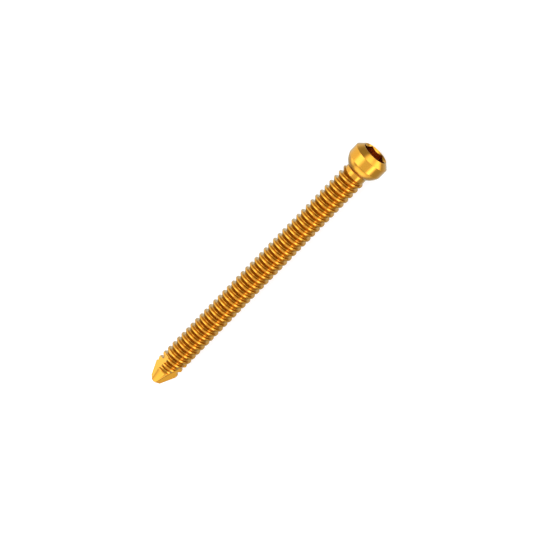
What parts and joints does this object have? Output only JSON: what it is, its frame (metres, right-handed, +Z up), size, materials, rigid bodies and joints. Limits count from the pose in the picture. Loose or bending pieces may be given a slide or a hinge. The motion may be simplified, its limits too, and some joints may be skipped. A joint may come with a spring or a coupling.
{
  "type": "locking bone screw",
  "caption": "Fully threaded bone screw with a fluted self-tapping tip, a plain neck and a ball-backed, bevelled head with a hexagon socket.",
  "frame": {"origin": "centre of the screw's box on the surface that it lies on, at height zero", "axes": "+X runs along the screw from the tip to the head, +Z is up; the screw rests on its head and its thread, so its axis rises about 1 degree toward the head"},
  "size_m": [0.05, 0.0058, 0.0058],
  "materials": {
    "anodised_titanium": "gold anodised titanium, turned, satin bright"
  },
  "bodies": {
    "root": {"bone_screw": "anodised_titanium"}
  },
  "joints": []
}
